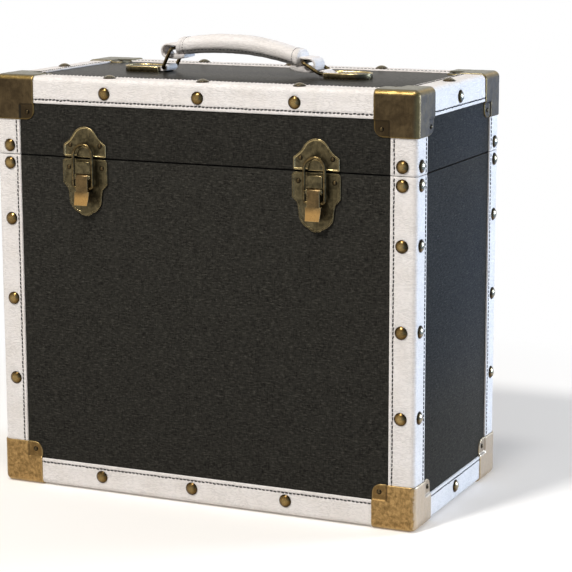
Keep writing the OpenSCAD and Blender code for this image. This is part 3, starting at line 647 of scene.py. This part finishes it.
def sheet_marks(axis, a, b, edge, pocket, upper):
    # Worn on the folds, the upper ones' most, and a little along the free edges
    fold = 0.8 if upper else 0.4
    worn_edge = np.clip(1.15 - edge / 1.2, 0, 1) * (0.3 if upper else 0.35)
    # By the distances from the folds that this face shares with the next and the last one
    near = [np.clip((3.4 - d) / 4.2, 0, 1) for d in (a, b)]
    strength = [fold if 2 in (axis, (axis + k) % 3) else 0.45 * fold for k in (1, 2)]
    wear = np.maximum(worn_edge, np.maximum(near[0] * strength[0], near[1] * strength[1]))
    # The pressed square and its slopes are darkened, a painted shade in the recess
    stain_and_shade = -0.42 * pocket - 1.6 * pocket * (1 - pocket)
    # The lower ones' ends and the upper ones' tops are painted paler, a painted reflection of the
    # white studio
    pale = {0: 0.0 if upper else 0.95, 1: 0.0, 2: 0.9 if upper else 0.3}[axis]
    return {"wear": wear, "tint": stain_and_shade, "pale": pale}


def protector(signs):
    """A pressed sheet over three faces, in places measured inwards from the trims' corner."""
    turn = [EDGE_R - (EDGE_R + CORNER_T) * math.tan(math.radians(a)) for a in (45, 33, 22, 11, 0)]
    lines = turn + [6.5, 8.5, 10.5, 12.5, 14.5, 16.5, 18.5, 20.3, 21.6, 22.2, 22.8, 23.4, 24.0,
                    24.8, 26.2, 28.0, 29.8, 31.6, 33.2, 34.6, 35.3, 35.7, 36.0]
    count = len(lines)
    a, b = (m.ravel() for m in np.meshgrid(lines, lines, indexing="ij"))
    edge = CORNER_W - np.maximum(a, b)
    # The square that lies beyond both trims is pressed down to the cover
    pocket = soft_step((a - PRESS_AT) / PRESS_RAMP) * soft_step((b - PRESS_AT) / PRESS_RAMP)
    shape = Shape()
    seed = 10.0 * signs[0] + 5.0 * signs[1] + 2.0 * signs[2]
    faces = grid_faces(count, count, False)
    for axis in range(3):
        marks = sheet_marks(axis, a, b, edge, pocket, signs[2] > 0)
        for layer in sheet_layers(axis, a, b, edge, pocket, seed):
            world = np.stack([signs[0] * (HALF_W - layer[:, 0]), signs[1] * (HALF_D - layer[:, 1]),
                              TOP - layer[:, 2] if signs[2] > 0 else BOTTOM + layer[:, 2]], -1)
            shape.add(world, faces, **marks)
        # Joins the two layers along the free edges
        base = shape.count - 2 * len(a)
        last = [j + (count - 1) * count for j in range(count)]
        side = [i * count + count - 1 for i in range(count)]
        for line in (last, side):
            for p, q in zip(line, line[1:]):
                shape.faces.append((base + p, base + q, base + len(a) + q, base + len(a) + p))
    return shape


def make_protectors():
    for z, body, material in ((-1, "base", BRASS_LOWER), (1, "lid", BRASS_UPPER)):
        for y, depth in ((-1, "front"), (1, "back")):
            for x, side in ((-1, "left"), (1, "right")):
                name = f"{body}_corner_{depth}_{side}"
                piece(name + "_brass", protector((x, y, z)), material, body,
                      (name,), 60.0)


# Nails

def lathe(profile, sides):
    """Points and faces of a turned shape closed at its top and bottom."""
    turn = np.arange(sides) * 2 * np.pi / sides
    rings = [[(r * math.cos(t), r * math.sin(t), z) for t in turn] for r, z in profile]
    faces = tube_faces(len(profile), sides)
    return np.array(rings).reshape(-1, 3), faces


def dome_profile(d, h, skirt):
    r = (d * d / 4 + h * h) / (2 * h)
    full = math.asin(d / 2 / r)
    # The crown, then a small rolled edge, then the skirt that sits in the leather
    line = [(r * math.sin(full * t) * 0.985,
             (h - r + r * math.cos(full * t) + 0.06 * (t > 0.9)) * 0.98)
            for t in (0.03, 0.12, 0.25, 0.4, 0.55, 0.7, 0.82, 0.92, 0.97)]
    return line + [(d / 2, 0.06), (d / 2, -0.1), (d / 2 - 0.35, -skirt)]


def set_nails(shape, template, faces, spots, tilt):
    for centre, away in spots:
        z = Vector(away)
        turn = z.to_track_quat("Z", "Y").to_matrix()
        lean = Matrix.Rotation(rng.normal(0, tilt), 3, "X") @ Matrix.Rotation(
            rng.normal(0, tilt), 3, "Y") @ Matrix.Rotation(rng.uniform(0, 6.28), 3, "Z")
        spin = np.array(turn @ lean)
        points = template @ spin.T + np.array(centre)
        height = template[:, 2] / template[:, 2].max()
        # The rim keeps its dark patina; on the ends and the top the crown is painted paler, a
        # painted reflection
        stain_and_shade = -0.6 * np.clip(0.4 - height, 0, 1) / 0.4 * (0.3 if away[2] else 1.0)
        crown = np.clip((height - (0.0 if away[2] else 0.45)) / 0.3, 0, 1)
        shape.add(points, faces, wear=np.clip(height - 0.55, 0, 1) * rng.uniform(0.3, 0.9),
                  tint=stain_and_shade + rng.uniform(-0.1, 0.4) * (height > 0.4),
                  pale=0.0 if away[1] else crown * rng.uniform(0.5, 0.8))


def small_spots(body):
    """Small nails on the protectors, the latch or strike plates and the hinge leaves."""
    low = body == "base"
    at = (TRIM_W + CORNER_T + CORNER_W) / 2
    sunk = TRIM_T - CORNER_T
    spots = []
    for x in (-1, 1):
        for y in (-1, 1):
            z_edge = BOTTOM if low else TOP
            z_in = 1 if low else -1
            spots.append(((x * (HALF_W - at), y * (HALF_D - at), z_edge + z_in * sunk),
                          (0, 0, -z_in)))
            spots.append(((x * (HALF_W - at), y * (HALF_D - sunk), z_edge + z_in * at), (0, y, 0)))
            spots.append(((x * (HALF_W - sunk), y * (HALF_D - at), z_edge + z_in * at), (x, 0, 0)))
    side_x, rise = (15.3, -8.0) if low else (13.7, 10.2)
    for side in (-1, 1):
        for x in (-1, 1):
            spots.append(((side * LATCH_X + x * side_x, -VINYL_Y - PLATE_T, SEAM + rise),
                          (0, -1, 0)))
        for x in (-1, 0, 1):
            z = SEAM + (-1 if low else 1) * (15.0 if x == 0 else 20.0)
            spots.append(((side * HINGE_X + x * 15.0, VINYL_Y + 1.2, z), (0, 1, 0)))
    return spots


def make_nails():
    dome, dome_faces = lathe(dome_profile(DOME_D, DOME_H, 0.7), 28)
    small, small_faces = lathe(dome_profile(SMALL_D, SMALL_H, 0.3), 16)
    for body in ("base", "lid"):
        shape = Shape()
        spots = [(centre, away) for b, centre, away in NAILS if b == body]
        set_nails(shape, dome, dome_faces, spots, 0.025)
        piece(body + "_dome_nails_brass", shape, BRASS_NAIL, body,
              (body + "_dome_nails",), 60.0)
        shape = Shape()
        set_nails(shape, small, small_faces, small_spots(body), 0.03)
        piece(body + "_small_nails_brass", shape, BRASS_PIN, body,
              (body + "_small_nails",), 60.0)


# The handle's grip, in its own frame: x from the left ring's upper bar to the right one's

GRIP_START = Vector((-65.84, 0.0, 364.99))
GRIP_END = Vector((53.45, 0.0, 357.47))
GRIP_LENGTH = (GRIP_END - GRIP_START).length
BODY_START = 2.8
BODY_LENGTH = GRIP_LENGTH - 2 * BODY_START
GRIP_HALF_W, GRIP_HALF_T = 12.0, 7.9
GRIP_SIDES = 56
# Where the seams run along the grip, as the cosine of the angle round it
SEAM_AT = 0.83


def on_grip(points):
    along = (GRIP_END - GRIP_START).normalized()
    up = Vector((-along.z, 0, along.x))
    points = np.asarray(points, float)
    return (np.array(GRIP_START) + points[..., :1] * np.array(along)
            + points[..., 1:2] * np.array((0, 1.0, 0)) + points[..., 2:] * np.array(up))


def grip_ring(t, grow=0.0):
    """The grip's section at a share t of its length, with a seam low on both sides."""
    # It is drawn in at both ends, and its middle line is an arch
    near_end = min(t, 1 - t) * BODY_LENGTH / 2.4
    close = 1.0 if near_end >= 1 else 0.84 + 0.16 * math.sin(math.pi / 2 * max(near_end, 0))
    half_w = GRIP_HALF_W * close + grow - 0.5
    half_t = GRIP_HALF_T * close * (0.9 + 0.1 * math.sin(math.pi * t)) + grow
    middle = 0.8 + 7.1 * (1 - (2 * t - 1) ** 2)
    angle = np.arange(GRIP_SIDES) * 2 * np.pi / GRIP_SIDES

    def power(v):
        return np.sign(v) * np.abs(v) ** 0.84

    y, z = half_w * power(np.cos(angle)), half_t * power(np.sin(angle))
    # The seams pull the leather in, and it wrinkles on the inside of the bend
    seam = np.exp(-((np.abs(np.cos(angle)) - SEAM_AT) / 0.06) ** 2) * (np.sin(angle) < 0)
    seam = seam * min(1.0, near_end)
    pull = 1 - 0.05 * seam
    x = np.full(GRIP_SIDES, BODY_START + BODY_LENGTH * t)
    under = np.clip(-np.sin(angle), 0, 1)
    place = np.stack([x, y, z], -1)
    fold = bumps(place * (1.0, 0.25, 0.25), 3.4, 0.3) * (0.15 + 0.85 * under) \
        + bumps(place, 16.0, 0.35, 4.0)
    scale = pull + fold / 9.0 * min(1.0, near_end)
    return np.stack([x, y * scale, middle + z * scale], -1), seam


def strap_path():
    """Middle line of an end loop in the side view, running away from the body, with its outward
    directions and its inward thickness."""
    reach, r, drop = 7.7, 5.4, 2.6
    path = [((x, r - drop), (0, 1), 0.9) for x in (-3.0, -1.0, 1.5, 4.0)]
    for k in range(13):
        a = math.radians(90 - 15 * k)
        path.append(((reach + r * math.cos(a), r * math.sin(a) - drop),
                     (math.cos(a), math.sin(a)), 0.9))
    # The lower layer is doubled up towards the body and tucked in close under it
    for x, lift, thick in ((5.0, 0.0, 1.4), (3.2, 0.0, 3.0), (1.5, 0.0, 3.9), (-1.0, 0.0, 4.0),
                           (-3.5, 0.4, 3.6), (-6.5, 1.4, 2.6), (-8.5, 2.0, 2.0)):
        path.append(((x, lift - r - drop), (0, -1), thick))
    return path


def add_grip_body(shape):
    shares = np.concatenate([np.linspace(0, 0.06, 8)[:-1], np.linspace(0.06, 0.94, 74),
                             np.linspace(0.94, 1.0, 8)[1:]])
    rings, seams = zip(*(grip_ring(t) for t in shares))
    shape.add(on_grip(np.concatenate(rings)), tube_faces(len(rings), GRIP_SIDES),
              wear=np.concatenate(seams) * 0.5)


def add_grip_collars(shape):
    """Collars over both ends, where the loops' leather is sewn to the body."""
    for low, high in ((0.006, 0.05), (0.95, 0.994)):
        places = list(np.linspace(low, high, 9)) + [high, low]
        heights = (-0.3, 0.45, 0.8, 0.95, 1.0, 0.95, 0.8, 0.45, -0.3, -1.2, -1.2)
        rings = [grip_ring(t, grow)[0] for t, grow in zip(places, heights)]
        # The points sunk below the body's surface are marked darker, so the collars' edges show as
        # dark lines
        dirt_and_shade = np.repeat([1.0 if grow < 0 else 0.0 for grow in heights], GRIP_SIDES)
        faces = grid_faces(len(rings), GRIP_SIDES)
        last = (len(rings) - 1) * GRIP_SIDES
        faces += [(last + j, last + (j + 1) % GRIP_SIDES, (j + 1) % GRIP_SIDES, j)
                  for j in range(GRIP_SIDES)]
        shape.add(on_grip(np.concatenate(rings)), faces, wear=dirt_and_shade)


def add_grip_loops(shape):
    """End loops; a section's points are places across and shares of the thickness."""
    section = ((-10, -0.5), (-9.6, -0.9), (-6, -1), (0, -1), (6, -1), (9.6, -0.9), (10, -0.5),
               (10, 0.5), (9.6, 0.88), (6, 0.98), (0, 1.0), (-6, 0.98), (-9.6, 0.88), (-10, 0.5))
    # The inner side is painted darker, a painted shade inside the loop, all but its last point
    dirt_and_shade = [0.6] * 6 + [0.0] * 8
    for start, direction in ((BODY_START, -1), (BODY_START + BODY_LENGTH, 1)):
        rings = []
        for (x, z), (out_x, out_z), thick in strap_path():
            for y, d in section:
                d = (d * thick if d < 0 else d) - 0.1
                rings.append((start + direction * (x + out_x * d), y * 0.98, z + out_z * d))
        count = len(rings) // len(section)
        shape.add(on_grip(np.array(rings)), tube_faces(count, len(section)), wear=dirt_and_shade * count)


def grip_thread_rows():
    """Stitches along both lower seams and round the collars."""
    rows = []
    for side in (-1, 1):
        angle = -math.acos(SEAM_AT) if side > 0 else -math.pi + math.acos(SEAM_AT)
        where = int(round((angle % (2 * math.pi)) / (2 * math.pi) * GRIP_SIDES)) % GRIP_SIDES
        count = int(BODY_LENGTH * 0.82 / 3.3)
        for k in range(count):
            t0 = 0.09 + 0.82 * k / count
            t1 = t0 + 0.82 / count * 0.68
            a, b = grip_ring(t0)[0][where], grip_ring(t1)[0][where]
            rows.append((a, b, np.array((0, math.cos(angle), math.sin(angle)))))
    for t in (0.062, 0.938):
        ring = grip_ring(t, 0.1)[0]
        middle = ring.mean(0)
        for j in range(0, GRIP_SIDES, 2):
            a, b = ring[j], ring[j] + (ring[(j + 1) % GRIP_SIDES] - ring[j]) * 1.3
            out = (a + b) / 2 - middle
            out[0] = 0
            rows.append((a, b, out / np.linalg.norm(out)))
    return [(on_grip(a), on_grip(b), on_grip(away) - np.array(GRIP_START))
            for a, b, away in rows]


def make_grip():
    body = Shape()
    add_grip_body(body)
    add_grip_collars(body)
    add_grip_loops(body)
    grip = piece("handle_grip_leather", body, LEATHER, "grip", ("handle_grip",),
                 60.0)
    thread = Shape()
    stitches(thread, grip_thread_rows(), low=0.12, radius=0.33)
    piece("handle_grip_stitches", thread, THREAD, "grip")


# Carried-over CAD shapes with softened edges

def mark(obj, key, test):
    """Marks the points of a piece that pass a test of their place in millimetres."""
    layer = obj.data.attributes.new(key, "FLOAT", "POINT")
    layer.data.foreach_set("value", [float(test(v.co / MM)) for v in obj.data.vertices])


def make_dressed():
    for body in ("base", "lid"):
        dress(body + "_cover", VINYL, 0.35, uv=True)
        dress(body + "_lining", LINING, 0.3, uv=True)
    for node in sorted(n for n in frame["nodes"] if n.endswith("_board")):
        board = dress(node, BOARD, 0.2, uv=True)
        # The cover is turned in over the rim at the seam
        board.data.materials.append(VINYL)
        for face in board.data.polygons:
            if abs(face.normal.z) > 0.9 and abs(face.center.z / MM - SEAM) < 1:
                face.material_index = 1
    for side in ("left", "right"):
        dress("strike_plate_" + side, BRASS_PLATE)
        dress("latch_plate_" + side, BRASS_PLATE)
        lever = dress("latch_lever_" + side, BRASS_LEVER)
        # The finger tab below the bend is painted paler, a painted highlight where it bends out
        # towards the light
        mark(lever, "pale", lambda co: co.z < LEVER_BEND)
        dress("latch_bail_" + side, BRASS_WIRE, 0.15)
        dress("hinge_base_leaf_" + side, BRASS_PLATE)
        dress("hinge_lid_leaf_" + side, BRASS_PLATE)
        dress("handle_ring_" + side, BRASS_WIRE, 0.0)
        dress("handle_tab_" + side, LEATHER, 0.35)
        dress("handle_cap_" + side, BRASS_PLATE, 0.45)
    dress("lever_pins", BRASS_WIRE, 0.2)
    dress("hinge_pins", BRASS_WIRE, 0.2)


# Floor, light and camera

def white_to_view(n):
    """1 where a ray comes straight from the camera or by a reflection, and else 0."""
    path = n.add("LightPath").outputs
    seen = n.math("ADD", path["Is Camera Ray"], path["Is Glossy Ray"], True)
    return n.math("ADD", seen, path["Is Transmission Ray"], True)


def studio_white(n, sideways):
    """White; only reflections show it warm on the left of the studio and blue on the right."""
    tinted = n.mix(n.steps(sideways, 0.1, 0.5), (1.0, 0.97, 0.93, 1), (0.42, 0.6, 1.0, 1))
    return n.mix(n.add("LightPath").outputs["Is Glossy Ray"], (1, 1, 1, 1), tinted)


def make_floor():
    half = 6.0
    mesh = bpy.data.meshes.new("floor")
    mesh.from_pydata([(-half, -half, 0), (half, -half, 0), (half, half, 0), (-half, half, 0)], [],
                     [(0, 1, 2, 3)])
    floor = bpy.data.objects.new("floor", mesh)
    bpy.context.scene.collection.objects.link(floor)
    n = new_material("floor")
    place = n.object_place()
    seen = white_to_view(n)
    tone = n.mix(n.noise(place, 3.0, 2.0), (0.80, 0.79, 0.775, 1), (0.82, 0.81, 0.795, 1))
    lit = n.add("AddShader", {
        0: n.add("BsdfDiffuse", {"Color": tone}).outputs[0],
        1: n.add("Emission", {"Color": (1, 0.88, 0.75, 1),
                              "Strength": n.math("MULTIPLY", seen, 0.23)}).outputs[0]})
    # The floor is plain white further out, where the lamps fall off
    sideways = n.add("SeparateXYZ", {0: place}).outputs["X"]
    far = n.add("Emission", {"Color": studio_white(n, sideways), "Strength": 1.0})
    reach = n.add("VectorMath", {0: place}, operation="LENGTH").outputs["Value"]
    both = n.add("MixShader", {"Fac": n.math("MULTIPLY", seen, n.steps(reach, 0.42, 0.62)),
                               1: lit.outputs[0], 2: far.outputs[0]})
    n.add("OutputMaterial", {"Surface": both.outputs[0]})
    mesh.materials.append(n.owner)


def make_world():
    world = bpy.data.worlds.new("studio")
    bpy.context.scene.world = world
    n = Nodes(world)
    seen = white_to_view(n)
    # White all round, with a darker studio ceiling that only reflections reach
    way = n.add("SeparateXYZ", {0: n.add("TexCoord").outputs["Generated"]}).outputs
    unseen = n.math("SUBTRACT", 1.0, n.add("LightPath").outputs["Is Camera Ray"])
    ceiling = n.math("MULTIPLY", n.steps(way["Z"], 0.25, 0.8), unseen)
    white = n.math("SUBTRACT", 1.0, n.math("MULTIPLY", ceiling, 0.6))
    strength = n.steps(seen, 0.0, 1.0, 0.24, white)
    colour = n.mix(seen, (0.94, 0.97, 1.0, 1), studio_white(n, way["X"]))
    background = n.add("Background", {"Color": colour, "Strength": strength})
    n.add("OutputWorld", {"Surface": background.outputs[0]})


def make_lamp(name, place, aim, size, power, colour):
    """A round lamp that faces aim; metres and watts."""
    data = bpy.data.lights.new(name, "AREA")
    data.shape = "DISK"
    data.size = size
    data.energy = power
    data.color = colour
    lamp = bpy.data.objects.new(name, data)
    lamp.location = place
    lamp.rotation_euler = (Vector(aim) - Vector(place)).to_track_quat("-Z", "Y").to_euler()
    bpy.context.scene.collection.objects.link(lamp)


def make_camera():
    """The camera that was fitted to the straight edges in the photo."""
    data = bpy.data.cameras.new("camera")
    data.sensor_width = 36.0
    data.lens = 129.55
    data.clip_end = 30.0
    camera = bpy.data.objects.new("camera", data)
    yaw, pitch, roll = (math.radians(a) for a in (24.423, 10.962, -0.137))
    ahead = Vector((-math.sin(yaw) * math.cos(pitch), math.cos(yaw) * math.cos(pitch),
                    -math.sin(pitch)))
    right = Vector((math.cos(yaw), math.sin(yaw), 0))
    up = right.cross(ahead)
    turned = right * math.cos(roll) + up * math.sin(roll)
    upright = -right * math.sin(roll) + up * math.cos(roll)
    turn = Matrix((turned, upright, -ahead)).transposed().to_4x4()
    camera.matrix_world = Matrix.Translation((0.7334, -1.5417, 0.4967)) @ turn
    bpy.context.scene.collection.objects.link(camera)
    bpy.context.scene.camera = camera


make_trims()
make_protectors()
make_nails()
make_grip()
make_dressed()
make_floor()
make_world()
make_lamp("key", (-0.52, -1.85, 2.6), (0, 0, 0.15), 0.36, 65.0, (1.0, 0.985, 0.96))
make_lamp("overhead", (0.2, -0.72, 2.9), (0, -0.05, 0.25), 0.4, 18.0, (1.0, 0.975, 0.94))
make_lamp("side_fill", (2.0, 1.35, 0.45), (0.1, 0, 0.2), 0.8, 56.0, (0.6, 0.76, 1.0))
make_camera()
bpy.context.scene.view_settings.view_transform = "Standard"
